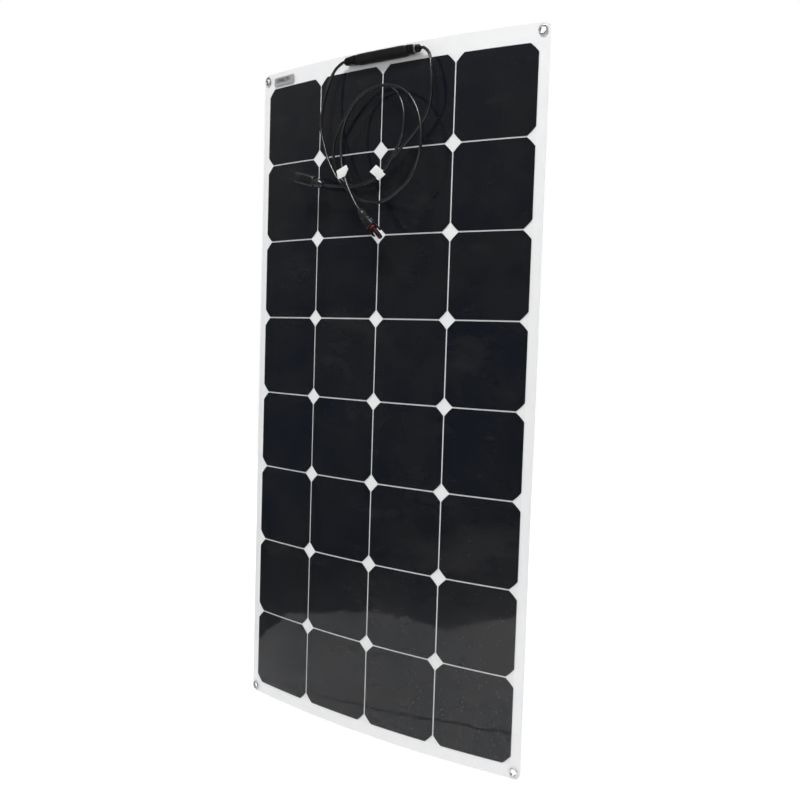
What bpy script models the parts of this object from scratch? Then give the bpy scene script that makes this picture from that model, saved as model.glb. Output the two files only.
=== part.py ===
"""A bowed, flexible solar sheet with a junction box, two leads and their plugs.

Metres, +Z up. The sheet stands upright with its cells facing -Y, as it hangs by its two top eyelets.
The origin is midway between the centres of the top eyelets.
Places on the sheet are given as s, the distance across it from its middle line, n, the height above
its back face, and z.
"""
import math

import bmesh
import bpy
import numpy as np
from mathutils import Matrix, Vector

# Cells and sheet
COLUMNS = 4
ROWS = 8
CELL = 0.125
CELL_GAP = 0.002
CELL_CHAMFER = 0.0125
PITCH = CELL + CELL_GAP
SIDE_MARGIN = 0.015
TOP_MARGIN = 0.026
BOTTOM_MARGIN = 0.020
HALF_WIDTH = COLUMNS * PITCH / 2 - CELL_GAP / 2 + SIDE_MARGIN
SHEET_HEIGHT = ROWS * PITCH - CELL_GAP + TOP_MARGIN + BOTTOM_MARGIN
CORNER_RADIUS = 0.008
BOW_RADIUS = 1.650
FLAT_HALF = PITCH / 4
FLAT_STRIP = PITCH / 2
FLEX_LINE = PITCH
SPLIT_GAP = 0.0004

# Layers, as heights above the back face
BACK_SHEET = (0.0, 0.0006)
CELL_LAYER = (0.0010, 0.0013)
FRONT_FILM = (0.0017, 0.0025)

# Eyelets
EYELET_INSET = 0.010
EYELET_HOLE = 0.0043
EYELET_BARREL = 0.0049
EYELET_FLANGE = 0.0067
EYELET_CLEARANCE = 0.0003
TOP_EDGE = EYELET_INSET
BOTTOM_EDGE = TOP_EDGE - SHEET_HEIGHT
EYELET_S = HALF_WIDTH - EYELET_INSET
SHEET_MIDDLE_HEIGHT = FRONT_FILM[1] / 2

# Junction box
BOX_X = 0.002
BOX_Z = TOP_EDGE - TOP_MARGIN / 2
BOX_HALF_LENGTH = 0.048
BOX_HALF_HEIGHT = 0.0075
BOX_FOOT = FRONT_FILM[1] + 0.0003
BOX_SPLIT = 0.0086
BOX_TOP = 0.0150
BOX_WALL = 0.0014
BOX_FLOOR = 0.0046
GLAND_LENGTH = 0.022
GLAND_AXIS = 0.0084

# Leads
LEAD_DIAMETER = 0.0045
LEAD_BORE = LEAD_DIAMETER / 2 + 0.00035
LEAD_IN_GLAND = 0.008
LEAD_IN_NUT = 0.006
LEAD_POINT_SPACING = 2.7 * LEAD_DIAMETER
STRAIGHT_START = 0.006
STRAIGHT_END = 0.008

# Places along each lead in millimetres, from the straight start at the gland to the straight end at the plug
LEFT_ROUTE = [
    (-85, -29, -11), (-92, -32, -24), (-97, -35, -42), (-101, -40, -72), (-100, -44, -101),
    (-91, -47, -127), (-78, -50, -155), (-60, -52, -181), (-35, -55, -204), (-7, -59, -220),
    (19, -63, -227), (43, -65, -226), (67, -66, -215), (86, -64, -198), (97, -60, -172),
    (99, -56, -141), (91, -51, -107), (72, -47, -77), (46, -44, -59), (16, -43, -53),
    (-14, -43, -59), (-36, -45, -75), (-49, -49, -103), (-50, -54, -139), (-40, -60, -175),
    (-22, -65, -208),
]
RIGHT_ROUTE = [
    (88, -29, -11), (94, -32, -22), (98, -35, -38), (102, -38, -66), (98, -38, -92),
    (86, -36, -111), (64, -35, -133), (45, -34, -148), (23, -32, -167), (3, -30, -183),
    (-23, -29, -192), (-51, -29, -192), (-72, -29, -177), (-83, -30, -153), (-85, -30, -127),
    (-76, -31, -105), (-57, -32, -81), (-36, -33, -62), (-9, -33, -51), (17, -34, -51),
    (38, -35, -64), (52, -38, -85), (58, -42, -110), (55, -45, -136), (44, -47, -157),
    (29, -48, -178), (6, -47, -190), (-27, -46, -197), (-62, -44, -195),
]

# Plugs: where the cable enters the nut, and the way that the plug points
FORK_PLUG_START = Vector((-0.0008, -0.0660, -0.2372))
FORK_PLUG_WAY = Vector((0.654, 0.112, -0.748)).normalized()
SHELL_PLUG_START = Vector((-0.092, -0.044, -0.190))
SHELL_PLUG_WAY = Vector((-0.960, -0.035, 0.279)).normalized()
NUT_LENGTH = 0.0168
NECK_START = 0.0086
NECK_END = 0.0171
FINGER_OFFSET = 0.0068
FINGER_START = 0.0333
FINGER_LENGTH = 0.0130

# Tape flags: middle, direction of the long side, length, height
FLAG_THICKNESS = 0.0006
# The middle of each flag's tab, and the tab's outline round it in x and z in millimetres
LEFT_FLAG = (Vector((-0.0345, -0.0650, -0.1790)), [(-14, 3), (5, 10.5), (8.5, 4), (3, -6), (-10, -9.5)])
RIGHT_FLAG = (Vector((0.0218, -0.0525, -0.1824)),
              [(-5, 12), (-16.5, 3), (-4, -6), (-3.5, -8.5), (1, -11), (13, -3), (7.5, 1), (9, 2.5)])

ROUND_SIDES = 24
SMALL_SIDES = 16
LOFT_SIDES = 24

COLOURS = {
    "cell": ((0.010, 0.011, 0.014), 0.30, 0.0),
    "back_sheet": ((0.80, 0.80, 0.80), 0.45, 0.0),
    "film": ((0.90, 0.92, 0.94), 0.08, 0.0),
    "steel": ((0.62, 0.62, 0.60), 0.28, 1.0),
    "box_plastic": ((0.012, 0.012, 0.013), 0.42, 0.0),
    "cable": ((0.016, 0.016, 0.017), 0.50, 0.0),
    "plug_plastic": ((0.014, 0.014, 0.015), 0.40, 0.0),
    "red_rubber": ((0.42, 0.03, 0.03), 0.55, 0.0),
    "brass": ((0.70, 0.52, 0.25), 0.35, 1.0),
    "diode": ((0.03, 0.03, 0.03), 0.40, 0.0),
    "tape": ((0.85, 0.85, 0.84), 0.55, 0.0),
}


def clear_scene():
    for existing in list(bpy.data.objects):
        bpy.data.objects.remove(existing, do_unlink=True)


def make_material(name):
    colour, roughness, metallic = COLOURS[name]
    material = bpy.data.materials.new(name)
    material.use_nodes = True
    shader = material.node_tree.nodes["Principled BSDF"]
    shader.inputs["Base Color"].default_value = (*colour, 1.0)
    shader.inputs["Roughness"].default_value = roughness
    shader.inputs["Metallic"].default_value = metallic
    return material


def mesh_object(name, mesh_data, finish, smooth=False):
    """Turn a bmesh into a named object with its own material, faces pointing out."""
    bmesh.ops.recalc_face_normals(mesh_data, faces=mesh_data.faces)
    if mesh_data.calc_volume(signed=True) < 0:
        bmesh.ops.reverse_faces(mesh_data, faces=mesh_data.faces)
    mesh = bpy.data.meshes.new(name)
    mesh_data.to_mesh(mesh)
    mesh_data.free()
    if smooth:
        mesh.shade_smooth()
        mesh.set_sharp_from_angle(angle=math.radians(35))
    piece = bpy.data.objects.new(name, mesh)
    bpy.context.scene.collection.objects.link(piece)
    if finish:
        piece.data.materials.append(make_material(finish))
    return piece


def as_cutter(piece):
    piece.hide_render = True
    piece.display_type = "WIRE"
    return piece


def cut(piece, cutter):
    boolean = piece.modifiers.new("cut_" + cutter.name, "BOOLEAN")
    boolean.operation = "DIFFERENCE"
    boolean.solver = "EXACT"
    boolean.object = cutter


# ---------------------------------------------------------------- the bowed sheet

def bend_lines():
    """The sheet is bowed in flat strips; these are the lines between them."""
    lines = []
    line = FLAT_HALF
    while line < HALF_WIDTH - FLAT_HALF:
        lines += [-line, line]
        line += FLAT_STRIP
    return sorted(lines)


BEND_LINES = bend_lines()
STRIP_EDGES = [-HALF_WIDTH] + BEND_LINES + [HALF_WIDTH]


def on_arc(s, n):
    angle = s / BOW_RADIUS
    radius = BOW_RADIUS + n
    return Vector((radius * math.sin(angle), BOW_RADIUS - radius * math.cos(angle), 0.0))


def on_strip(s, n):
    """A point of the stripwise bow, before it is moved to put the top eyelets at y = 0."""
    strip = 0
    while strip < len(STRIP_EDGES) - 2 and s > STRIP_EDGES[strip + 1]:
        strip += 1
    first, last = STRIP_EDGES[strip], STRIP_EDGES[strip + 1]
    part = (s - first) / (last - first)
    return on_arc(first, n).lerp(on_arc(last, n), part)


EYELET_DEPTH = on_strip(EYELET_S, SHEET_MIDDLE_HEIGHT).y
MIDDLE_BACK_Y = on_strip(0.0, 0.0).y - EYELET_DEPTH


def on_sheet(s, n, z):
    point = on_strip(s, n)
    return Vector((point.x, point.y - EYELET_DEPTH, z))


def outward(s):
    """The direction away from the cells' side of the sheet at s."""
    return (on_sheet(s, 0.01, 0.0) - on_sheet(s, 0.0, 0.0)).normalized()


def box_point(x, n, z):
    """A point of the junction box, which is straight and stands on the sheet's middle strip."""
    return Vector((x, MIDDLE_BACK_Y - n, z))


def sheet_piece(name, outline, layer, finish):
    """A flat outline in (s, z), given the layer's thickness and bowed with the sheet."""
    low, high = layer
    flat = bmesh.new()
    base = flat.faces.new([flat.verts.new((s, low, z)) for s, z in outline])
    grown = bmesh.ops.extrude_face_region(flat, geom=[base])
    for corner in grown["geom"]:
        if isinstance(corner, bmesh.types.BMVert):
            corner.co.y = high
    for line in BEND_LINES:
        everything = flat.verts[:] + flat.edges[:] + flat.faces[:]
        bmesh.ops.bisect_plane(flat, geom=everything, plane_co=(line, 0, 0), plane_no=(1, 0, 0), dist=1e-6)
    for corner in flat.verts:
        corner.co = on_sheet(corner.co.x, corner.co.y, corner.co.z)
    return mesh_object(name, flat, finish)


def cell_outline(left, top):
    c = CELL_CHAMFER
    right = left + CELL
    bottom = top - CELL
    return [(left + c, top), (right - c, top), (right, top - c), (right, bottom + c),
            (right - c, bottom), (left + c, bottom), (left, bottom + c), (left, top - c)]


def make_cells():
    grid_left = -COLUMNS * PITCH / 2 + CELL_GAP / 2
    grid_top = TOP_EDGE - TOP_MARGIN
    for row in range(ROWS):
        for column in range(COLUMNS):
            outline = cell_outline(grid_left + column * PITCH, grid_top - row * PITCH)
            sheet_piece(f"cell_r{row + 1}_c{column + 1}", outline, CELL_LAYER, "cell")


def wing_outline(side):
    """One side strip of the sheet, with its two outer corners rounded."""
    inner = FLEX_LINE + SPLIT_GAP / 2
    centre_s = HALF_WIDTH - CORNER_RADIUS
    outline = [(side * inner, BOTTOM_EDGE), (side * inner, TOP_EDGE)]
    for centre_z, first in ((TOP_EDGE - CORNER_RADIUS, 90), (BOTTOM_EDGE + CORNER_RADIUS, 0)):
        for step in range(6):
            angle = math.radians(first - step * 18)
            s = centre_s + CORNER_RADIUS * math.cos(angle)
            outline.append((side * s, centre_z + CORNER_RADIUS * math.sin(angle)))
    return outline


def middle_outline():
    half = FLEX_LINE - SPLIT_GAP / 2
    return [(-half, BOTTOM_EDGE), (half, BOTTOM_EDGE), (half, TOP_EDGE), (-half, TOP_EDGE)]


def make_laminate(eyelet_cutters):
    for layer_name, layer, finish in (("back_sheet", BACK_SHEET, "back_sheet"), ("front_film", FRONT_FILM, "film")):
        sheet_piece(layer_name + "_middle", middle_outline(), layer, finish)
        for side_name, side in (("left", -1), ("right", 1)):
            wing = sheet_piece(f"{layer_name}_{side_name}", wing_outline(side), layer, finish)
            for cutter in eyelet_cutters[side]:
                cut(wing, cutter)


# ---------------------------------------------------------------- turned and lofted shapes

def bridge(mesh_data, first, second):
    """Join two rings of corners; a ring of one corner is a tip."""
    count = max(len(first), len(second))
    for i in range(count):
        j = (i + 1) % count
        if len(first) == 1:
            mesh_data.faces.new((first[0], second[i], second[j]))
        elif len(second) == 1:
            mesh_data.faces.new((first[i], first[j], second[0]))
        else:
            mesh_data.faces.new((first[i], first[j], second[j], second[i]))


def turned(name, profile, finish, sides=ROUND_SIDES, hollow=False):
    """A profile of (radius, height) turned about the local Z axis; a hollow one is a closed loop."""
    mesh_data = bmesh.new()
    rings = []
    for radius, height in profile:
        if radius == 0:
            rings.append([mesh_data.verts.new((0, 0, height))])
            continue
        ring = []
        for i in range(sides):
            angle = 2 * math.pi * i / sides
            ring.append(mesh_data.verts.new((radius * math.cos(angle), radius * math.sin(angle), height)))
        rings.append(ring)
    for first, second in zip(rings, rings[1:]):
        bridge(mesh_data, first, second)
    if hollow:
        bridge(mesh_data, rings[-1], rings[0])
    return mesh_object(name, mesh_data, finish, smooth=True)


def rounded_ring(half_x, half_y, squareness, sides=LOFT_SIDES):
    """Corners of a rounded rectangle; squareness 2 is an ellipse and 8 is nearly a rectangle."""
    ring = []
    for i in range(sides):
        angle = 2 * math.pi * (i + 0.5) / sides
        c, s = math.cos(angle), math.sin(angle)
        scale = (abs(c) ** squareness + abs(s) ** squareness) ** (-1 / squareness)
        ring.append((half_x * c * scale, half_y * s * scale))
    return ring


def lofted(name, sections, finish, sides=LOFT_SIDES):
    """Sections of (height, half x, half y, squareness) joined along local Z, with flat ends."""
    mesh_data = bmesh.new()
    rings = []
    for height, half_x, half_y, squareness in sections:
        corners = rounded_ring(half_x, half_y, squareness, sides)
        rings.append([mesh_data.verts.new((x, y, height)) for x, y in corners])
    for first, second in zip(rings, rings[1:]):
        bridge(mesh_data, first, second)
    mesh_data.faces.new(rings[0])
    mesh_data.faces.new(rings[-1])
    return mesh_object(name, mesh_data, finish, smooth=True)


def block(name, low, high, finish):
    mesh_data = bmesh.new()
    bmesh.ops.create_cube(mesh_data, size=1.0)
    for corner in mesh_data.verts:
        corner.co = Vector([low[k] + (corner.co[k] + 0.5) * (high[k] - low[k]) for k in range(3)])
    return mesh_object(name, mesh_data, finish)


def stand(piece, place, along, facing):
    """Put a piece so that its local Z runs along and its local Y is as near facing as it can be."""
    z_axis = along.normalized()
    x_axis = facing.cross(z_axis).normalized()
    y_axis = z_axis.cross(x_axis)
    turn = Matrix((x_axis, y_axis, z_axis)).transposed().to_4x4()
    piece.matrix_world = Matrix.Translation(place) @ turn
    return piece


# ---------------------------------------------------------------- eyelets

def eyelet_places():
    top = TOP_EDGE - EYELET_INSET
    bottom = BOTTOM_EDGE + EYELET_INSET
    return [("top_left", -1, top), ("top_right", 1, top), ("bottom_left", -1, bottom), ("bottom_right", 1, bottom)]


def make_eyelet(name, side, z):
    hole, barrel, flange = EYELET_HOLE, EYELET_BARREL, EYELET_FLANGE
    back = BACK_SHEET[0] - EYELET_CLEARANCE
    front = FRONT_FILM[1] + EYELET_CLEARANCE
    profile = [
        (hole, back - 0.0006), (flange - 0.0006, back - 0.0006), (flange, back - 0.0003), (flange, back),
        (barrel, back), (barrel, front), (flange, front), (flange - 0.0002, front + 0.0005),
        (flange - 0.0009, front + 0.0010), (hole + 0.0007, front + 0.0010), (hole, front + 0.0004),
    ]
    eyelet = turned("eyelet_" + name, profile, "steel", ROUND_SIDES, hollow=True)
    stand(eyelet, on_sheet(side * EYELET_S, 0.0, z), outward(side * EYELET_S), Vector((0, 0, 1)))


def make_eyelet_cutter(name, side, z):
    radius = EYELET_BARREL + EYELET_CLEARANCE
    reach = 0.005
    profile = [(0, -reach), (radius, -reach), (radius, reach + FRONT_FILM[1]), (0, reach + FRONT_FILM[1])]
    cutter = as_cutter(turned("hole_" + name, profile, None, ROUND_SIDES))
    return stand(cutter, on_sheet(side * EYELET_S, 0.0, z), outward(side * EYELET_S), Vector((0, 0, 1)))


def make_eyelets():
    cutters = {-1: [], 1: []}
    for name, side, z in eyelet_places():
        make_eyelet(name, side, z)
        cutters[side].append(make_eyelet_cutter(name, side, z))
    return cutters


# ---------------------------------------------------------------- junction box

def make_box_base():
    """The tray that is glued to the sheet; its foot follows the bow, and its rim is straight."""
    left, right = BOX_X - BOX_HALF_LENGTH, BOX_X + BOX_HALF_LENGTH
    low, high = BOX_Z - BOX_HALF_HEIGHT, BOX_Z + BOX_HALF_HEIGHT
    corner = 0.0015
    outline = [(left + corner, low), (right - corner, low), (right, low + corner), (right, high - corner),
               (right - corner, high), (left + corner, high), (left, high - corner), (left, low + corner)]
    tray = bmesh.new()
    foot = tray.faces.new([tray.verts.new((x, BOX_FOOT, z)) for x, z in outline])
    grown = bmesh.ops.extrude_face_region(tray, geom=[foot])
    for vertex in grown["geom"]:
        if isinstance(vertex, bmesh.types.BMVert):
            vertex.co.y = BOX_SPLIT
    for line in (-FLAT_HALF, FLAT_HALF):
        everything = tray.verts[:] + tray.edges[:] + tray.faces[:]
        bmesh.ops.bisect_plane(tray, geom=everything, plane_co=(line, 0, 0), plane_no=(1, 0, 0), dist=1e-6)
    for vertex in tray.verts:
        x, n, z = vertex.co
        on_foot = n < (BOX_FOOT + BOX_SPLIT) / 2
        vertex.co = Vector((x, on_sheet(x, n, z).y, z)) if on_foot else box_point(x, n, z)
    base = mesh_object("junction_base", tray, "box_plastic")
    wall = BOX_WALL
    first = box_point(left + wall, BOX_TOP, low + wall)
    last = box_point(right - wall, BOX_FLOOR, high - wall)
    cut(base, as_cutter(block("junction_hollow", first, last, None)))
    return base


def make_box_lid():
    """The cover: its outer side runs up from the rim and rounds over to a flat front."""
    half_x, half_z = BOX_HALF_LENGTH, BOX_HALF_HEIGHT
    rim = BOX_SPLIT + 0.0003
    sections = [
        (0.0, half_x, half_z, 10), (0.0030, half_x, half_z, 10), (0.0044, half_x - 0.0006, half_z - 0.0006, 8),
        (0.0055, half_x - 0.0018, half_z - 0.0018, 6), (BOX_TOP - rim, half_x - 0.0040, half_z - 0.0034, 5),
    ]
    lid = lofted("junction_lid", sections, "box_plastic", 32)
    stand(lid, box_point(BOX_X, rim, BOX_Z), Vector((0, -1, 0)), Vector((0, 0, 1)))
    inside = [(-0.0010, half_x - BOX_WALL, half_z - BOX_WALL, 10),
              (0.0030, half_x - BOX_WALL, half_z - BOX_WALL, 10),
              (0.0048, half_x - 0.0035, half_z - 0.0032, 6)]
    hollow = as_cutter(lofted("lid_hollow", inside, None, 32))
    stand(hollow, box_point(BOX_X, rim, BOX_Z), Vector((0, -1, 0)), Vector((0, 0, 1)))
    cut(lid, hollow)
    return lid


LEFT_GLAND = [
    (0.0003, 0.0069, 0.0053, 6), (0.0060, 0.0067, 0.0053, 5), (0.0190, 0.0058, 0.0050, 3),
    (0.0208, 0.0052, 0.0046, 2.5), (GLAND_LENGTH, 0.0042, 0.0040, 2),
]
RIGHT_GLAND = [
    (0.0003, 0.0069, 0.0053, 5), (0.0104, 0.0066, 0.0053, 4), (0.0112, 0.0060, 0.0050, 3),
    (0.0118, 0.0054, 0.0048, 2.5), (0.0128, 0.0054, 0.0048, 2.5), (0.0133, 0.0060, 0.0052, 2.5),
    (0.0152, 0.0060, 0.0052, 2.5), (0.0157, 0.0053, 0.0048, 2.2), (0.0166, 0.0053, 0.0048, 2.2),
    (0.0171, 0.0057, 0.0051, 2.2), (0.0202, 0.0055, 0.0050, 2.2), (GLAND_LENGTH, 0.0044, 0.0042, 2),
]


def make_gland(name, side, sections):
    """A strain relief at one end of the box; the right one has a collar and an end ring round the lead."""
    gland = lofted(name, sections, "box_plastic")
    end = box_point(BOX_X + side * BOX_HALF_LENGTH, GLAND_AXIS, BOX_Z)
    stand(gland, end, Vector((side, 0, 0)), Vector((0, -1, 0)))
    depth = GLAND_LENGTH - LEAD_IN_GLAND - 0.001
    bore = [(0, depth), (LEAD_BORE, depth), (LEAD_BORE, GLAND_LENGTH + 0.002), (0, GLAND_LENGTH + 0.002)]
    cutter = as_cutter(turned(name + "_bore", bore, None, SMALL_SIDES))
    stand(cutter, end, Vector((side, 0, 0)), Vector((0, -1, 0)))
    cut(gland, cutter)
    return end + Vector((side * GLAND_LENGTH, 0, 0))


def make_diode():
    """The bypass diode: a moulded body on a straight wire."""
    profile = [(0, -0.016), (0.0006, -0.016), (0.0006, -0.0048), (0.0024, -0.0045),
               (0.0024, 0.0045), (0.0006, 0.0048), (0.0006, 0.016), (0, 0.016)]
    diode = turned("bypass_diode", profile, "diode", SMALL_SIDES)
    stand(diode, box_point(BOX_X, 0.0082, BOX_Z), Vector((1, 0, 0)), Vector((0, -1, 0)))


def make_terminal(name, side):
    """A terminal: a flat foot with an upright tab, which takes the diode's wire and the lead's core."""
    outline = [(0.0165, 0.0050), (0.0340, 0.0050), (0.0340, 0.0092), (0.0326, 0.0092), (0.0326, 0.0064),
               (0.0180, 0.0064), (0.0180, 0.0092), (0.0165, 0.0092)]
    half_width = 0.0035
    terminal = bmesh.new()
    corners = [terminal.verts.new(box_point(BOX_X + side * x, n, BOX_Z - half_width)) for x, n in outline]
    face = terminal.faces.new(corners)
    grown = bmesh.ops.extrude_face_region(terminal, geom=[face])
    for vertex in grown["geom"]:
        if isinstance(vertex, bmesh.types.BMVert):
            vertex.co.z += 2 * half_width
    mesh_object(name, terminal, "brass")


# ---------------------------------------------------------------- leads

def smooth_curve(points, samples=1200):
    """A natural cubic spline through the points, spaced by the square root of their distances."""
    points = np.array(points, dtype=float)
    steps = np.sqrt(np.linalg.norm(np.diff(points, axis=0), axis=1))
    knots = np.concatenate([[0.0], np.cumsum(steps)])
    count = len(points)
    system = np.eye(count)
    right_side = np.zeros((count, 3))
    for i in range(1, count - 1):
        system[i, i - 1:i + 2] = (steps[i - 1], 2 * (steps[i - 1] + steps[i]), steps[i])
        slope_after = (points[i + 1] - points[i]) / steps[i]
        slope_before = (points[i] - points[i - 1]) / steps[i - 1]
        right_side[i] = 6 * (slope_after - slope_before)
    bend = np.linalg.solve(system, right_side)
    places = np.linspace(0.0, knots[-1], samples)
    spans = np.clip(np.searchsorted(knots, places, side="right") - 1, 0, count - 2)
    curve = []
    for place, i in zip(places, spans):
        h = steps[i]
        a = (knots[i + 1] - place) / h
        b = 1.0 - a
        curve.append(a * points[i] + b * points[i + 1]
                     + ((a ** 3 - a) * bend[i] + (b ** 3 - b) * bend[i + 1]) * h * h / 6)
    return np.array(curve)


def evenly_spaced(curve, spacing):
    distance = np.concatenate([[0.0], np.cumsum(np.linalg.norm(np.diff(curve, axis=0), axis=1))])
    count = int(round(distance[-1] / spacing)) + 1
    places = np.linspace(0.0, distance[-1], count)
    return np.stack([np.interp(places, distance, curve[:, k]) for k in range(3)], axis=1)


def make_lead(name, exit_point, exit_way, route, plug_start, plug_way):
    """A tube from inside the gland, along the route and straight into the plug's nut."""
    first = exit_point + exit_way * STRAIGHT_START
    last = plug_start - plug_way * STRAIGHT_END
    free = [first] + [Vector(place) / 1000 for place in route] + [last]
    middle = evenly_spaced(smooth_curve(free), LEAD_POINT_SPACING)
    points = [exit_point - exit_way * LEAD_IN_GLAND] + [Vector(p) for p in middle]
    points.append(plug_start + plug_way * LEAD_IN_NUT)
    curve = bpy.data.curves.new(name, "CURVE")
    curve.dimensions = "3D"
    curve.bevel_depth = LEAD_DIAMETER / 2
    curve.bevel_resolution = 2
    curve.use_fill_caps = True
    spline = curve.splines.new("POLY")
    spline.points.add(len(points) - 1)
    for spline_point, place in zip(spline.points, points):
        spline_point.co = (*place, 1.0)
    lead = bpy.data.objects.new(name, curve)
    bpy.context.scene.collection.objects.link(lead)
    curve.materials.append(make_material("cable"))
    return lead


# ---------------------------------------------------------------- plugs

TOWARDS_VIEWER = Vector((0, -1, 0))


def make_nut(name, start, way):
    """The cap nut that clamps the cable: a cone towards the cable, open over the housing's neck."""
    profile = [
        (LEAD_BORE, 0.0), (0.0038, 0.0), (0.0046, 0.0008), (0.0063, 0.0062), (0.0069, 0.0078),
        (0.0069, 0.0160), (0.0065, NUT_LENGTH), (0.0055, NUT_LENGTH), (0.0055, 0.0082), (LEAD_BORE, 0.0074),
    ]
    nut = turned(name, profile, "plug_plastic", ROUND_SIDES, hollow=True)
    stand(nut, start, way, TOWARDS_VIEWER)


def neck_sections():
    return [(NECK_START, 0.0042, 0.0042, 2), (NECK_START + 0.0006, 0.0051, 0.0051, 2),
            (NECK_END, 0.0051, 0.0051, 2)]


def make_fork_plug(start, way):
    """The plug with a probe that has latch fingers beside it and a seal ring round its root."""
    sections = neck_sections() + [
        (NECK_END + 0.0001, 0.0069, 0.0062, 3), (0.0240, 0.0071, 0.0063, 3), (0.0300, 0.0080, 0.0067, 3),
        (0.0322, 0.0074, 0.0062, 2.5),
        (0.0330, 0.0036, 0.0036, 2), (0.0535, 0.0036, 0.0036, 2), (0.0550, 0.0029, 0.0029, 2),
    ]
    housing = stand(lofted("fork_plug_housing", sections, "plug_plastic"), start, way, TOWARDS_VIEWER)
    bore = [(0, 0.0380), (0.0020, 0.0380), (0.0020, 0.0570), (0, 0.0570)]
    cutter = as_cutter(turned("probe_bore", bore, None, SMALL_SIDES))
    cut(housing, stand(cutter, start, way, TOWARDS_VIEWER))
    seal = [(0.0039, 0.0337), (0.0047, 0.0334), (0.0053, 0.0340), (0.0053, 0.0356), (0.0047, 0.0362),
            (0.0039, 0.0359)]
    stand(turned("fork_plug_seal", seal, "red_rubber", ROUND_SIDES, hollow=True), start, way, TOWARDS_VIEWER)
    make_nut("fork_plug_nut", start, way)
    side_way = TOWARDS_VIEWER.cross(way).normalized()
    for letter, side in (("a", 1), ("b", -1)):
        make_finger("fork_plug_finger_" + letter, start, way, side_way * side)


def make_finger(name, start, way, side_way):
    """A latch finger with a barb at its tip, standing on its root, which is its hinge."""
    half = 0.0008
    outline = [(-half, 0.0), (half, 0.0), (half, FINGER_LENGTH - 0.0040), (half + 0.0010, FINGER_LENGTH - 0.0036),
               (half - 0.0002, FINGER_LENGTH), (-half, FINGER_LENGTH)]
    half_width = 0.0024
    finger = bmesh.new()
    face = finger.faces.new([finger.verts.new((x, -half_width, z)) for x, z in outline])
    grown = bmesh.ops.extrude_face_region(finger, geom=[face])
    for vertex in grown["geom"]:
        if isinstance(vertex, bmesh.types.BMVert):
            vertex.co.y = half_width
    piece = mesh_object(name, finger, "plug_plastic")
    place = start + way * FINGER_START + side_way * FINGER_OFFSET
    z_axis = way.normalized()
    y_axis = z_axis.cross(side_way)
    turn = Matrix((side_way, y_axis, z_axis)).transposed().to_4x4()
    piece.matrix_world = Matrix.Translation(place) @ turn


def make_shell_plug(start, way):
    """The plug with a shell that the probe goes into, windows for the fingers and grip recesses."""
    sections = neck_sections() + [
        (NECK_END + 0.0001, 0.0072, 0.0066, 3), (0.0200, 0.0088, 0.0078, 3), (0.0540, 0.0088, 0.0078, 3.2),
        (0.0570, 0.0083, 0.0073, 3),
    ]
    shell = stand(lofted("shell_plug_housing", sections, "plug_plastic"), start, way, TOWARDS_VIEWER)
    mouth = [(0, 0.0370), (0.0056, 0.0370), (0.0056, 0.0590), (0, 0.0590)]
    mouth_cutter = as_cutter(turned("shell_mouth", mouth, None, SMALL_SIDES))
    cut(shell, stand(mouth_cutter, start, way, TOWARDS_VIEWER))
    window = as_cutter(block("shell_windows", (-0.012, -0.0026, 0.0455), (0.012, 0.0026, 0.0505), None))
    cut(shell, stand(window, start, way, TOWARDS_VIEWER))
    for number, (x, z) in enumerate([(x, z) for x in (-0.0036, 0.0036) for z in (0.0240, 0.0315, 0.0390)]):
        low = (x - 0.0014, 0.0066, z - 0.0022)
        high = (x + 0.0014, 0.0100, z + 0.0022)
        recess = as_cutter(block(f"grip_recess_{number + 1}", low, high, None))
        cut(shell, stand(recess, start, way, TOWARDS_VIEWER))
    make_nut("shell_plug_nut", start, way)


# ---------------------------------------------------------------- tape flags

def make_flag(name, flag):
    middle, outline = flag
    tab = bmesh.new()
    half = FLAG_THICKNESS / 2
    face = tab.faces.new([tab.verts.new(middle + Vector((x / 1000, -half, z / 1000))) for x, z in outline])
    grown = bmesh.ops.extrude_face_region(tab, geom=[face])
    for vertex in grown["geom"]:
        if isinstance(vertex, bmesh.types.BMVert):
            vertex.co.y += FLAG_THICKNESS
    mesh_object(name, tab, "tape")


def build():
    clear_scene()
    make_cells()
    make_laminate(make_eyelets())
    make_box_base()
    make_box_lid()
    make_diode()
    make_terminal("negative_terminal", -1)
    make_terminal("positive_terminal", 1)
    left_exit = make_gland("left_gland", -1, LEFT_GLAND)
    right_exit = make_gland("right_gland", 1, RIGHT_GLAND)
    make_lead("left_lead", left_exit, Vector((-1, 0, 0)), LEFT_ROUTE, FORK_PLUG_START, FORK_PLUG_WAY)
    make_lead("right_lead", right_exit, Vector((1, 0, 0)), RIGHT_ROUTE, SHELL_PLUG_START, SHELL_PLUG_WAY)
    make_fork_plug(FORK_PLUG_START, FORK_PLUG_WAY)
    make_shell_plug(SHELL_PLUG_START, SHELL_PLUG_WAY)
    make_flag("left_flag", LEFT_FLAG)
    make_flag("right_flag", RIGHT_FLAG)


build()
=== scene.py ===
"""Looks of the flexible solar sheet: camera, studio, cords, and a piece or material for every CAD node.

Metres, +Z up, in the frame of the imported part: the cells face -Y, and the origin is midway between the
top eyelets. Places on the sheet are given as s, the distance across it from its middle line, n, the height
above its back face, and z.
"""
import math

import bmesh
import bpy
import numpy as np
from mathutils import Matrix, Vector


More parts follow.
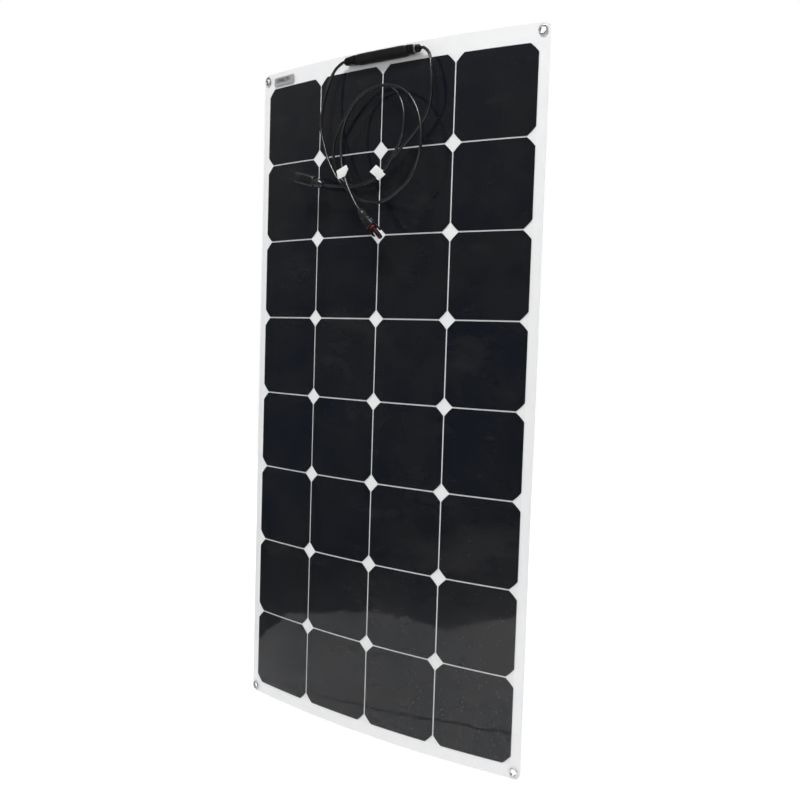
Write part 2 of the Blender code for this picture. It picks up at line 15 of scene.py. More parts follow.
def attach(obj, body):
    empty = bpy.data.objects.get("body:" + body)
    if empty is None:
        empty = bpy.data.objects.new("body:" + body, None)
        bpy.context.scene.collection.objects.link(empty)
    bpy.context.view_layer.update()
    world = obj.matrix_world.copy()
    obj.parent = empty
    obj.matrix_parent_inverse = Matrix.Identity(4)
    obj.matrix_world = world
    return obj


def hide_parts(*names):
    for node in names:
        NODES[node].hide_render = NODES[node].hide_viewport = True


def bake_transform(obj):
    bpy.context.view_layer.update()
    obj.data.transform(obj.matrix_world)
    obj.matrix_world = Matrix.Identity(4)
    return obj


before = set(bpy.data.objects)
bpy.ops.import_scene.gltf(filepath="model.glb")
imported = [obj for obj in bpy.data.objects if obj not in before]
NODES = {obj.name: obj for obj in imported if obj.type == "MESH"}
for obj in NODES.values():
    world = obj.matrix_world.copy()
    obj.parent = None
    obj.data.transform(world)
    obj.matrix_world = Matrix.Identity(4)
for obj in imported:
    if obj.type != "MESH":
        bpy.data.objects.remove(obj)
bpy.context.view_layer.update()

# Cells and sheet
COLUMNS = 4
ROWS = 8
CELL = 0.125
PITCH = 0.127
CELL_GAP = PITCH - CELL
WAFER_RADIUS = 0.080
HALF_WIDTH = 0.268
TOP_EDGE = 0.010
GRID_TOP = -0.016
BOTTOM_EDGE = -1.050
GRID_BOTTOM = GRID_TOP - ROWS * PITCH + CELL_GAP
GRID_HALF_WIDTH = 0.252
FILM_IOR = 1.42
CORNER_RADIUS = 0.008
BOW_RADIUS = 1.650
BACK_SHEET = (0.0, 0.0006)
CELL_LAYER = (0.0010, 0.0013)
FRONT_FILM = (0.0017, 0.0025)
SLICE = PITCH / 24

# A hazy smear on the film, low on the right
SMEAR_MIDDLE = (0.175, 0.0, -0.725)
SMEAR_RADIUS = 0.12
SMEAR_STRENGTH = 0.24

# Dust on the cells: specks are commoner to the right, and more so downwards; their places are this dense,
# and their sizes lie between these parts of the distance from place to place
DUST_LIMIT = 1.10
DUST_DOWNWARDS = 1.35
DUST_SCALE = 290.0
DUST_SIZE = (0.07, 0.23)

# Slow colour variation of the plain materials, in patches for each metre
MOTTLE_SCALE = 35.0

# Eyelets
EYELET_INSET = 0.010
EYELET_S = HALF_WIDTH - EYELET_INSET
EYELET_HOLE = 0.0043
EYELET_BARREL = 0.0049
EYELET_FLANGE = 0.0067

# Leads
LEAD_DIAMETER = 0.0045
LEAD_IN_GLAND = 0.008
LEAD_IN_NUT = 0.006
STRAIGHT_START = 0.006
STRAIGHT_END = 0.008

# Places along each lead in millimetres, the same as in the part's source
LEFT_ROUTE = [
    (-85, -29, -11), (-92, -32, -24), (-97, -35, -42), (-101, -40, -72), (-100, -44, -101),
    (-91, -47, -127), (-78, -50, -155), (-60, -52, -181), (-35, -55, -204), (-7, -59, -220),
    (19, -63, -227), (43, -65, -226), (67, -66, -215), (86, -64, -198), (97, -60, -172),
    (99, -56, -141), (91, -51, -107), (72, -47, -77), (46, -44, -59), (16, -43, -53),
    (-14, -43, -59), (-36, -45, -75), (-49, -49, -103), (-50, -54, -139), (-40, -60, -175),
    (-22, -65, -208),
]
RIGHT_ROUTE = [
    (88, -29, -11), (94, -32, -22), (98, -35, -38), (102, -38, -66), (98, -38, -92),
    (86, -36, -111), (64, -35, -133), (45, -34, -148), (23, -32, -167), (3, -30, -183),
    (-23, -29, -192), (-51, -29, -192), (-72, -29, -177), (-83, -30, -153), (-85, -30, -127),
    (-76, -31, -105), (-57, -32, -81), (-36, -33, -62), (-9, -33, -51), (17, -34, -51),
    (38, -35, -64), (52, -38, -85), (58, -42, -110), (55, -45, -136), (44, -47, -157),
    (29, -48, -178), (6, -47, -190), (-27, -46, -197), (-62, -44, -195),
]
LEFT_EXIT = Vector((-0.068, -0.0271, -0.003))
RIGHT_EXIT = Vector((0.072, -0.0271, -0.003))
FORK_PLUG_START = Vector((-0.0008, -0.0660, -0.2372))
FORK_PLUG_WAY = Vector((0.654, 0.112, -0.748)).normalized()
SHELL_PLUG_START = Vector((-0.092, -0.044, -0.190))
SHELL_PLUG_WAY = Vector((-0.960, -0.035, 0.279)).normalized()

# Junction box
BOX_X = 0.002
BOX_Z = -0.003
BOX_HALF_LENGTH = 0.048
BOX_HALF_HEIGHT = 0.0075
BOX_FOOT = 0.0028
BOX_SPLIT = 0.0086
GRIP_BARS = 4
GRIP_PITCH = 0.0016
GLAND_AXIS = 0.0084
GLAND_LENGTH = 0.022
GLAND_BORE = 0.0026

# Plugs
NUT_LENGTH = 0.0168
FINGER_START = 0.0333
FINGER_OFFSET = 0.0068
FINGER_LENGTH = 0.013
RECESS_X = 0.0036
TOWARDS_VIEWER = Vector((0, -1, 0))

# Tape flags: the middle of the tab, its outline round it in x and z in millimetres, and the lead behind it
LEFT_FLAG = (Vector((-0.0345, -0.0650, -0.1790)), [(-14, 3), (5, 10.5), (8.5, 4), (3, -6), (-10, -9.5)],
             Vector((-0.0384, -0.0606, -0.1790)), Vector((0.37, -0.145, -0.917)))
RIGHT_FLAG = (Vector((0.0218, -0.0525, -0.1824)),
              [(-5, 12), (-16.5, 3), (-4, -6), (-3.5, -8.5), (1, -11), (13, -3), (7.5, 1), (9, 2.5)],
              Vector((0.0218, -0.0478, -0.1820)), Vector((-0.886, 0.04, -0.46)))

# Blank label at the top left: its span across the sheet and in height
LABEL_ACROSS = (-0.2405, -0.1913)
LABEL_HEIGHT = (-0.0120, 0.0012)

# Studio: the floor is two pale sheets. The front one has a torn edge, where the lower cells stop mirroring
# it. The edge and the join are given by their corners in x and y, then the step and depth of their tears.
WHITE = (1.0, 1.0, 1.0, 1.0)
AMBIENT = 0.42
FLOOR_HEIGHT = BOTTOM_EDGE - 0.012
FLOOR_HALF_WIDTH = 2.6
FLOOR_BACK = 3.4
# Its glow as the camera sees it, and as the sheet mirrors it from the first to the second of these x
FLOOR_SEEN = 0.64
FLOOR_FADE = (-0.55, 0.15)
FLOOR_MIRRORED = (0.0, 0.60)
FLOOR_EDGE = [(-0.52, -0.12), (-0.63, -0.34), (-0.42, -0.60), (-0.10, -0.61), (0.10, -0.86)]
FLOOR_TEAR = (0.025, 0.010)
FLOOR_JOIN = [(-0.60, 0.07), (-0.26, -0.085), (0.11, -0.175), (0.60, -0.20)]
JOIN_TEAR = (0.04, 0.003)
JOIN_WIDEST_AT = 0.11
JOIN_WIDTHS = (0.001, 0.011)
JOIN_NARROWING = 0.5

# Room that the glossy surfaces mirror: its tilt, and its tones from below (0) to above (1), the ends first
ROOM_TILT = -0.12
ROOM_TONES = [
    (0.0, (0.50, 0.50, 0.50)), (1.0, (0.34, 0.34, 0.34)), (0.22, (0.48, 0.48, 0.48)),
    (0.28, (0.20, 0.20, 0.20)), (0.34, (0.044, 0.050, 0.055)), (0.50, (0.040, 0.055, 0.080)),
    (0.62, (0.055, 0.060, 0.070)), (0.76, (0.13, 0.13, 0.13)),
]


# ---------------------------------------------------------------- camera

def make_camera():
    place = Vector((0.8636, -1.1428, -0.4257))
    right = Vector((0.80831, 0.58792, 0.03141))
    up = Vector((-0.06426, 0.03507, 0.99731))
    away = Vector((-0.58524, 0.80816, -0.06613))
    data = bpy.data.cameras.new("camera")
    data.sensor_width = 36.0
    data.lens = 41.42
    camera = bpy.data.objects.new("camera", data)
    bpy.context.scene.collection.objects.link(camera)
    turn = Matrix((right, up, -away)).transposed().to_4x4()
    camera.matrix_world = Matrix.Translation(place) @ turn
    bpy.context.scene.camera = camera


# ---------------------------------------------------------------- materials

def fill(socket, value):
    """Join an input to a node's output, or set it to a value; None leaves it as it is."""
    if isinstance(value, bpy.types.NodeSocket):
        socket.id_data.links.new(value, socket)
    elif value is not None:
        socket.default_value = value


def fill_named(node, values):
    for name, value in values.items():
        fill(node.inputs[name], value)


def node_adder(tree):
    """A function that adds a node, with its inputs in order or by name, as values or as outputs to join."""
    def add(kind, *inputs, **settings):
        node = tree.nodes.new(kind)
        for key, value in settings.items():
            if key in node.inputs:
                fill(node.inputs[key], value)
            else:
                setattr(node, key, value)
        for socket, value in zip(node.inputs, inputs):
            fill(socket, value)
        return node

    return add


def node_material(name):
    """A new material, its shader, and a function that adds nodes to it."""
    material = bpy.data.materials.new(name)
    material.use_nodes = True
    tree = material.node_tree
    return material, tree.nodes["Principled BSDF"], node_adder(tree)


def show_instead(material, shader, surface):
    """Take the shader out of a material and show a surface in its place."""
    tree = material.node_tree
    tree.nodes.remove(shader)
    fill(tree.nodes["Material Output"].inputs["Surface"], surface)


def object_place(add):
    return add("ShaderNodeTexCoord").outputs["Object"]


def calculated(add, operation, *inputs, **settings):
    return add("ShaderNodeMath", *inputs, operation=operation, **settings).outputs[0]


def noise(add, place, scale, detail, **settings):
    return add("ShaderNodeTexNoise", place, Scale=scale, Detail=detail, **settings).outputs["Fac"]


def value_range(add, value, low, high, start=0.0, end=1.0):
    """From low to high while the value goes from start to end."""
    return add("ShaderNodeMapRange", value, start, end, low, high).outputs["Result"]


def colour_ramp(add, value, low, high, start=0.35, end=0.65):
    """From one colour to another while the value goes from start to end."""
    ramp = add("ShaderNodeValToRGB", value)
    for stop, position, colour in zip(ramp.color_ramp.elements, (start, end), (low, high)):
        stop.position = position
        stop.color = (*colour, 1.0)
    return ramp.outputs["Color"]


def mixed(add, share, first, second, **settings):
    """One colour changed into another by a share; the five inputs between are for other kinds of data."""
    return add("ShaderNodeMix", share, *[None] * 5, first, second, data_type="RGBA", **settings).outputs[2]


def grained(name, dark, light, grain, roughness, bump, metallic=0.0, ior=1.5):
    """A surface with slow colour variation and a fine grain that also sets its roughness and bump."""
    material, shader, add = node_material(name)
    place = object_place(add)
    fine = noise(add, place, grain, 2.0)
    relief = add("ShaderNodeBump", Strength=0.5, Distance=bump, Height=fine)
    fill_named(shader, {
        "Base Color": colour_ramp(add, noise(add, place, MOTTLE_SCALE, 3.0), dark, light),
        "Roughness": value_range(add, fine, *roughness), "Normal": relief.outputs["Normal"],
        "Metallic": metallic, "IOR": ior,
    })
    return material


def metal(name, dark, light, roughness):
    return grained(name, dark, light, 900, roughness, 0.00003, metallic=1.0)


def glassy_waves(add):
    """The film's waves, the same over cells and margins, as a normal: broad ones, ripples and orange peel."""
    place = object_place(add)
    normal = None
    for scale, detail, depth in ((9.0, 1.0, 0.0010), (28.0, 2.0, 0.00022), (160.0, 1.0, 0.000012)):
        wave = noise(add, place, scale, detail)
        relief = add("ShaderNodeBump", Strength=1.0, Distance=depth, Height=wave, Normal=normal)
        normal = relief.outputs["Normal"]
    return normal


def inside_grid(add):
    """1 within the grid of cells, 0 in the margins around it."""
    split = add("ShaderNodeSeparateXYZ", object_place(add))
    middle_z = (GRID_TOP + GRID_BOTTOM) / 2
    across = calculated(add, "COMPARE", split.outputs["X"], 0.0, GRID_HALF_WIDTH)
    along = calculated(add, "COMPARE", split.outputs["Z"], middle_z, GRID_TOP - middle_z)
    return calculated(add, "MULTIPLY", across, along)


def film_gloss():
    """The clear film's front: see-through, with its own gloss in the margins; the cells have theirs."""
    material, shader, add = node_material("film_gloss")
    edge = add("ShaderNodeFresnel", IOR=FILM_IOR).outputs["Fac"]
    backfacing = add("ShaderNodeNewGeometry").outputs["Backfacing"]
    hidden = calculated(add, "MAXIMUM", backfacing, inside_grid(add))
    share = calculated(add, "MULTIPLY", edge, calculated(add, "SUBTRACT", 1.0, hidden))
    clear = add("ShaderNodeBsdfTransparent").outputs["BSDF"]
    mirror = add("ShaderNodeBsdfGlossy", Roughness=0.08, Normal=glassy_waves(add)).outputs["BSDF"]
    show_instead(material, shader, add("ShaderNodeMixShader", share, clear, mirror).outputs["Shader"])
    return material


def film_body():
    material, shader, add = node_material("film_body")
    show_instead(material, shader, add("ShaderNodeBsdfTransparent").outputs["BSDF"])
    return material


def dust(add, place):
    """1 on small specks, which get more common towards the lower right corner of the sheet, else 0."""
    split = add("ShaderNodeSeparateXYZ", place)
    rightwards = calculated(add, "SUBTRACT", split.outputs["X"], DUST_LIMIT)
    share = calculated(add, "MULTIPLY_ADD", split.outputs["Z"], -DUST_DOWNWARDS, rightwards, use_clamp=True)
    points = add("ShaderNodeTexVoronoi", place, Scale=DUST_SCALE)
    pick = add("ShaderNodeSeparateXYZ", points.outputs["Color"])
    chosen = calculated(add, "LESS_THAN", pick.outputs["X"], share)
    size = calculated(add, "MULTIPLY_ADD", pick.outputs["Y"], DUST_SIZE[1] - DUST_SIZE[0], DUST_SIZE[0])
    near = calculated(add, "LESS_THAN", points.outputs["Distance"], size)
    return calculated(add, "MULTIPLY", chosen, near)


def cell_material():
    """Blue-black silicon behind the film: cloudy, hazy in places, dusty, and different from cell to cell."""
    material, shader, add = node_material("cell")
    place = object_place(add)
    each = add("ShaderNodeObjectInfo").outputs["Random"]
    clouds = calculated(add, "MULTIPLY_ADD", each, 0.22, noise(add, place, 16.0, 4.0))
    tint = colour_ramp(add, clouds, (0.0070, 0.0083, 0.0120), (0.0112, 0.0117, 0.0132), 0.42, 0.72)
    flattened = add("ShaderNodeMapping", place, Scale=(1.0, 1.0, 2.6)).outputs[0]
    haze = noise(add, flattened, 8.0, 5.0, Roughness=0.62)
    distance = add("ShaderNodeVectorMath", place, SMEAR_MIDDLE, operation="DISTANCE").outputs["Value"]
    smear = value_range(add, distance, SMEAR_STRENGTH, 0.0, end=SMEAR_RADIUS)
    gathered = calculated(add, "ADD", haze, smear)
    haze_share = colour_ramp(add, gathered, (0.0, 0.0, 0.0), (0.7, 0.7, 0.7), 0.57, 0.74)
    hazy = mixed(add, haze_share, tint, (0.020, 0.020, 0.021, 1.0))
    fill_named(shader, {
        "Base Color": mixed(add, dust(add, place), hazy, (0.09, 0.09, 0.09, 1.0)),
        "Roughness": value_range(add, noise(add, place, 30.0, 4.0), 0.02, 0.08),
        "Normal": glassy_waves(add), "IOR": FILM_IOR,
    })
    return material


def back_sheet_material():
    """White sheet, with painted shade where it shows between the cells."""
    material = grained("back_sheet", (0.83, 0.84, 0.85), (0.86, 0.86, 0.86), 600, (0.45, 0.60), 0.00006)
    add = node_adder(material.node_tree)
    base = material.node_tree.nodes["Principled BSDF"].inputs["Base Color"]
    white = base.links[0].from_socket
    # Painted shade: inside the grid the white is multiplied by 0.94, as shade between the cells.
    fill(base, mixed(add, inside_grid(add), white, (0.94, 0.94, 0.94, 1.0), blend_type="MULTIPLY"))
    return material


def label_material():
    """Grey paper with a row of soft darker blots where its print was."""
    material, shader, add = node_material("label")
    place = object_place(add)
    split = add("ShaderNodeSeparateXYZ", place)
    width = LABEL_ACROSS[1] - LABEL_ACROSS[0]
    height = LABEL_HEIGHT[1] - LABEL_HEIGHT[0]
    row_middle = LABEL_HEIGHT[0] + height * 0.60
    print_middle = LABEL_ACROSS[0] + width * 0.45
    spans = []
    for axis, middle, half in (("X", print_middle, width * 0.40), ("Z", row_middle, height * 0.30)):
        distance = calculated(add, "ABSOLUTE", calculated(add, "SUBTRACT", split.outputs[axis], middle))
        spans.append(value_range(add, distance, 1.0, 0.0, half * 0.55, half * 1.15))
    blots = noise(add, place, 190.0, 1.0)
    dark = colour_ramp(add, blots, (0.07, 0.07, 0.07), (0.21, 0.21, 0.21), 0.38, 0.62)
    fill_named(shader, {
        "Base Color": mixed(add, calculated(add, "MULTIPLY", *spans), (0.33, 0.33, 0.33, 1.0), dark),
        "Roughness": value_range(add, noise(add, place, 1500.0, 2.0), 0.35, 0.50),
    })
    return material


def make_materials():
    return {
        "cell": cell_material(),
        "back_sheet": back_sheet_material(),
        "film_gloss": film_gloss(),
        "film_body": film_body(),
        "label": label_material(),
        "metal": metal("eyelet_metal", (0.45, 0.45, 0.46), (0.60, 0.60, 0.60), (0.22, 0.38)),
        # Grey metal for the gland's band, which is partly a painted highlight.
        "clamp": metal("clamp_ring_painted_highlight", (0.25, 0.25, 0.26), (0.40, 0.40, 0.41), (0.25, 0.40)),
        "contact": metal("contact_metal", (0.55, 0.55, 0.53), (0.70, 0.70, 0.67), (0.20, 0.32)),
        "brass": metal("terminal_metal", (0.60, 0.44, 0.22), (0.72, 0.55, 0.28), (0.25, 0.40)),
        "box": grained("box_plastic", (0.0030, 0.0030, 0.0033), (0.0060, 0.0060, 0.0063), 1400,
                       (0.45, 0.62), 0.00006, ior=1.32),
        "gland": grained("gland_plastic", (0.002, 0.002, 0.002), (0.005, 0.004, 0.004), 1400,
                         (0.28, 0.42), 0.00005, ior=1.32),
        "plug": grained("plug_plastic", (0.005, 0.006, 0.006), (0.010, 0.011, 0.010), 1600,
                        (0.30, 0.45), 0.00005),
        "nut": grained("nut_plastic", (0.010, 0.010, 0.010), (0.018, 0.018, 0.018), 1600,
                       (0.12, 0.20), 0.00003),
        # Dark red for the fork plug's probe: a painted reflection of the red seal ring.
        "probe": grained("probe_painted_reflection", (0.012, 0.002, 0.002), (0.022, 0.004, 0.004), 1600,
                         (0.16, 0.26), 0.00003),
        "jacket": grained("lead_jacket", (0.007, 0.007, 0.007), (0.013, 0.013, 0.013), 1200,
                          (0.20, 0.28), 0.00004),
        "rubber": grained("seal_rubber", (0.16, 0.006, 0.010), (0.24, 0.012, 0.016), 900,
                          (0.22, 0.34), 0.00004),
        # Near-black for the floors of the shell plug's recesses: painted shade.
        "recess": grained("recess_painted_shade", (0.0005, 0.0005, 0.0005), (0.0010, 0.0010, 0.0010), 1600,
                          (0.7, 0.9), 0.00003),
        "diode": grained("diode_body", (0.012, 0.012, 0.012), (0.02, 0.02, 0.02), 1200,
                         (0.35, 0.50), 0.00004),
        "tape": grained("tape", (0.72, 0.72, 0.71), (0.82, 0.82, 0.81), 700, (0.45, 0.62), 0.00006),
    }


# ---------------------------------------------------------------- the bowed sheet

def arc_y(s, n):
    return BOW_RADIUS - (BOW_RADIUS + n) * math.cos(s / BOW_RADIUS)


EYELET_DEPTH = arc_y(EYELET_S, FRONT_FILM[1] / 2)


def on_sheet(s, n, z):
    return Vector(((BOW_RADIUS + n) * math.sin(s / BOW_RADIUS), arc_y(s, n) - EYELET_DEPTH, z))


def outward(s):
    return Vector((math.sin(s / BOW_RADIUS), -math.cos(s / BOW_RADIUS), 0.0))


def link_object(name, data):
    piece = bpy.data.objects.new(name, data)
    bpy.context.scene.collection.objects.link(piece)
    return piece


def flat_slab(name, loops, layer):
    """Closed outlines in (s, z), the outer one and then its holes, as a slab of the layer's thickness."""
    curve = bpy.data.curves.new(name, "CURVE")
    curve.dimensions = "2D"
    curve.fill_mode = "BOTH"
    curve.extrude = (layer[1] - layer[0]) / 2
    for loop in loops:
        spline = curve.splines.new("POLY")
        spline.points.add(len(loop) - 1)
        for corner, (s, z) in zip(spline.points, loop):
            corner.co = (s, z, 0.0, 1.0)
        spline.use_cyclic_u = True
    holder = link_object(name + "_outline", curve)
    mesh = bpy.data.meshes.new_from_object(holder.evaluated_get(bpy.context.evaluated_depsgraph_get()))
    bpy.data.objects.remove(holder)
    bpy.data.curves.remove(curve)
    slab = bmesh.new()
    slab.from_mesh(mesh)
    bpy.data.meshes.remove(mesh)
    bmesh.ops.remove_doubles(slab, verts=slab.verts, dist=1e-6)
    middle = (layer[0] + layer[1]) / 2
    for corner in slab.verts:
        s, z, half = corner.co
        corner.co = (s, middle + half, z)
    return slab


def bow(slab):
    """Slice a flat slab across the bow and bend it."""
    lines = np.arange(-HALF_WIDTH + SLICE / 2, HALF_WIDTH, SLICE)
    low = min(v.co.x for v in slab.verts)
    high = max(v.co.x for v in slab.verts)
    for line in lines[(lines > low + 1e-4) & (lines < high - 1e-4)]:
        everything = slab.verts[:] + slab.edges[:] + slab.faces[:]
        bmesh.ops.bisect_plane(slab, geom=everything, plane_co=(line, 0, 0), plane_no=(1, 0, 0), dist=1e-7)
    for corner in slab.verts:
        corner.co = on_sheet(*corner.co)
    bmesh.ops.recalc_face_normals(slab, faces=slab.faces)
    if slab.calc_volume(signed=True) < 0:
        bmesh.ops.reverse_faces(slab, faces=slab.faces)


def finish_mesh(name, mesh_data, materials, smooth_angle=30):
    mesh = bpy.data.meshes.new(name)
    mesh_data.to_mesh(mesh)
    mesh_data.free()
    mesh.shade_smooth()
    mesh.set_sharp_from_angle(angle=math.radians(smooth_angle))
    for material in materials:
        mesh.materials.append(material)
    return link_object(name, mesh)


def bend_with_sheet(piece):
    """Bake a piece of the sheet's placement into its mesh."""
    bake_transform(piece)


def arc(centre, radius, first, last, steps):
    """Points of an arc from one angle to another, in degrees."""
    points = []
    for step in range(steps + 1):
        angle = math.radians(first + (last - first) * step / steps)
        points.append((centre[0] + radius * math.cos(angle), centre[1] + radius * math.sin(angle)))
    return points


def half_outline(side):
    centre_s = HALF_WIDTH - CORNER_RADIUS
    right = [(0.0, BOTTOM_EDGE)]
    right += arc((centre_s, BOTTOM_EDGE + CORNER_RADIUS), CORNER_RADIUS, -90, 0, 8)
    right += arc((centre_s, TOP_EDGE - CORNER_RADIUS), CORNER_RADIUS, 0, 90, 8)
    right.append((0.0, TOP_EDGE))
    return [(side * s, z) for s, z in right]


def eyelet_heights():
    return {"top": TOP_EDGE - EYELET_INSET, "bottom": BOTTOM_EDGE + EYELET_INSET}


def make_laminate(materials):
    for side_name, side in (("left", -1), ("right", 1)):
        holes = [arc((side * EYELET_S, z), EYELET_BARREL + 0.0002, 0, 345, 23)
                 for z in eyelet_heights().values()]
        sheet = flat_slab("back_sheet", [half_outline(side)] + holes, BACK_SHEET)
        bow(sheet)
        back = finish_mesh(f"visual_back_sheet_{side_name}", sheet, [materials["back_sheet"]])
        film = flat_slab("front_film", [half_outline(side)] + holes, FRONT_FILM)
        bow(film)
        for face in film.faces:
            face.material_index = 0 if face.normal.y < -0.7 else 1
        films = [materials["film_gloss"], materials["film_body"]]
        front = finish_mesh(f"visual_front_film_{side_name}", film, films)
        for piece, layer in ((back, "back_sheet"), (front, "front_film")):
            bend_with_sheet(piece)
            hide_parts(f"{layer}_{side_name}")
            if side < 0:
                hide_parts(f"{layer}_middle")


def cell_outline(centre_s, centre_z):
    """A cell cut from a round wafer: a square whose corners are arcs of the wafer's edge."""
    half = CELL / 2
    reach = math.degrees(math.acos(half / WAFER_RADIUS))
    outline = []
    for first in (0, 90, 180, 270):
        outline += arc((centre_s, centre_z), WAFER_RADIUS, first + reach, first + 90 - reach, 5)
    return outline


def make_cells(materials):
    for row in range(ROWS):
        for column in range(COLUMNS):
            centre_s = (column - (COLUMNS - 1) / 2) * PITCH
            centre_z = GRID_TOP - CELL / 2 - row * PITCH
            name = f"cell_r{row + 1}_c{column + 1}"
            cell = flat_slab(name, [cell_outline(centre_s, centre_z)], CELL_LAYER)
            bow(cell)
            piece = finish_mesh("visual_" + name, cell, [materials["cell"]])
            bend_with_sheet(piece)
            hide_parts(name)


# ---------------------------------------------------------------- small solids

def rounded_ring(half_x, half_y, squareness, steps):
    """A rounded outline, from an ellipse (squareness 2) to nearly a rectangle (10)."""
    ring = []
    for step in range(steps):
        angle = 2 * math.pi * step / steps
        x = math.copysign(abs(math.cos(angle)) ** (2 / squareness), math.cos(angle)) * half_x
        y = math.copysign(abs(math.sin(angle)) ** (2 / squareness), math.sin(angle)) * half_y
        ring.append((x, y))
    return ring


def joined_rings(rings, closed):
    """A solid through rings of points; it is capped at both ends, or else its last ring meets its first."""
    solid = bmesh.new()
    loops = [[solid.verts.new(point) for point in ring] for ring in rings]
    pairs = list(zip(loops, loops[1:]))
    if closed:
        pairs.append((loops[-1], loops[0]))
    for low, high in pairs:
        for i in range(len(low)):
            j = (i + 1) % len(low)
            solid.faces.new((low[i], low[j], high[j], high[i]))
    if not closed:
        solid.faces.new(loops[0])
        solid.faces.new(loops[-1])
    bmesh.ops.recalc_face_normals(solid, faces=solid.faces)
    if solid.calc_volume(signed=True) < 0:
        bmesh.ops.reverse_faces(solid, faces=solid.faces)
    return solid


def lofted(sections, steps=48):
    """A solid through (height, half x, half y, squareness) sections; where they fold back, it is hollow."""
    rings = []
    for height, half_x, half_y, squareness in sections:
        rings.append([(x, y, height) for x, y in rounded_ring(half_x, half_y, squareness, steps)])
    return joined_rings(rings, closed=False)


def turned(profile, steps=48, ribs=0):
    """A ring round Z from a closed (radius, height, rib height) profile."""
    rings = []
    for radius, height, *rib in profile:
        rib_height = rib[0] if rib else 0.0
        ring = []
        for step in range(steps):
            angle = 2 * math.pi * step / steps
            reach = radius + rib_height * math.cos(ribs * angle)
            ring.append((reach * math.cos(angle), reach * math.sin(angle), height))
        rings.append(ring)
    return joined_rings(rings, closed=True)


def extruded(outline, half_width, axes=(0, 2), bevel=0.0003):
    """A plate from an outline in two of the axes, as thick as twice the half width, with softened edges."""
    plate = bmesh.new()
    across = 3 - sum(axes)
    corners = []
    for first, second in outline:
        place = [0.0, 0.0, 0.0]
        place[axes[0]], place[axes[1]] = first, second
        place[across] = -half_width
        corners.append(plate.verts.new(place))
    face = plate.faces.new(corners)
    grown = bmesh.ops.extrude_face_region(plate, geom=[face])
    for part in grown["geom"]:
        if isinstance(part, bmesh.types.BMVert):
            part.co[across] = half_width
    bmesh.ops.recalc_face_normals(plate, faces=plate.faces)
    bmesh.ops.bevel(plate, geom=plate.edges[:], offset=bevel, segments=2, affect="EDGES", profile=0.5)
    return plate


def standing(place, along, facing):
    """The placement that puts local Z along one way and local Y as near as can be to another."""
    z_axis = along.normalized()
    x_axis = facing.cross(z_axis).normalized()
    y_axis = z_axis.cross(x_axis)
    return Matrix.Translation(place) @ Matrix((x_axis, y_axis, z_axis)).transposed().to_4x4()


def merged(solids):
    """Several solids as one mesh; the faces keep their material indices."""
    whole = bmesh.new()
    for solid in solids:
        mesh = bpy.data.meshes.new("part")
        solid.to_mesh(mesh)
        solid.free()
        whole.from_mesh(mesh)
        bpy.data.meshes.remove(mesh)
    return whole


def carved(solid, cutters):
    """The solid with the cutters taken away."""
    piece = finish_mesh("uncut", solid, [])
    tools = finish_mesh("cutters", merged(cutters), [])
    difference = piece.modifiers.new("difference", "BOOLEAN")
    difference.operation = "DIFFERENCE"
    difference.solver = "EXACT"
    difference.object = tools
    mesh = bpy.data.meshes.new_from_object(piece.evaluated_get(bpy.context.evaluated_depsgraph_get()))
    result = bmesh.new()
    result.from_mesh(mesh)
    bpy.data.meshes.remove(mesh)
    bpy.data.objects.remove(piece)
    bpy.data.objects.remove(tools)
    return result


def settle(name, solid, placement, materials, body, node=None, smooth_angle=35):
    """Put a finished solid in place, let it ride on a body and stand for a CAD node."""
    bmesh.ops.transform(solid, matrix=placement, verts=solid.verts)
    piece = finish_mesh("visual_" + name, solid, materials, smooth_angle)
    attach(piece, body)
    if node:
        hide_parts(node)
    return piece


# ---------------------------------------------------------------- eyelets

def make_eyelets(materials):
    """Each eyelet is rolled over at the front and splayed flat with small splits at the back."""
    hole, barrel, flange = EYELET_HOLE, EYELET_BARREL, EYELET_FLANGE
    front = FRONT_FILM[1] + 0.0003
    rolled = [(flange + 0.0002 - 0.0009 + 0.0007 * math.cos(a), front + 0.0002 + 0.0007 * math.sin(a))
              for a in np.radians(np.linspace(0, 90, 5))]
    crown = [(0.5 * (hole + flange), front + 0.0010), (hole + 0.0006, front + 0.0008)]
    throat = [(hole + 0.0002, front + 0.0004), (hole, front - 0.0004), (hole, -0.0005)]
    splayed = [(hole + 0.0004, -0.0008), (flange - 0.0004, -0.0007, 0.0001),
               (flange - 0.0001, -0.0005, 0.0001), (flange - 0.0001, -0.0003, 0.0001),
               (barrel, -0.0003), (barrel, front), (flange, front)]
    for row, z in eyelet_heights().items():
        for side_name, side in (("left", -1), ("right", 1)):
            name = f"eyelet_{row}_{side_name}"
            ring = turned(rolled + crown + throat + splayed, 48, ribs=12)
            across = side * EYELET_S
            placement = standing(on_sheet(across, 0.0, z), outward(across), Vector((0, 0, 1)))
            settle(name, ring, placement, [materials["metal"]], side_name + "_wing", name)


# ---------------------------------------------------------------- junction box

def box_placement():
    return standing(Vector((BOX_X, on_sheet(0, 0, 0).y, BOX_Z)), TOWARDS_VIEWER, Vector((0, 0, 1)))


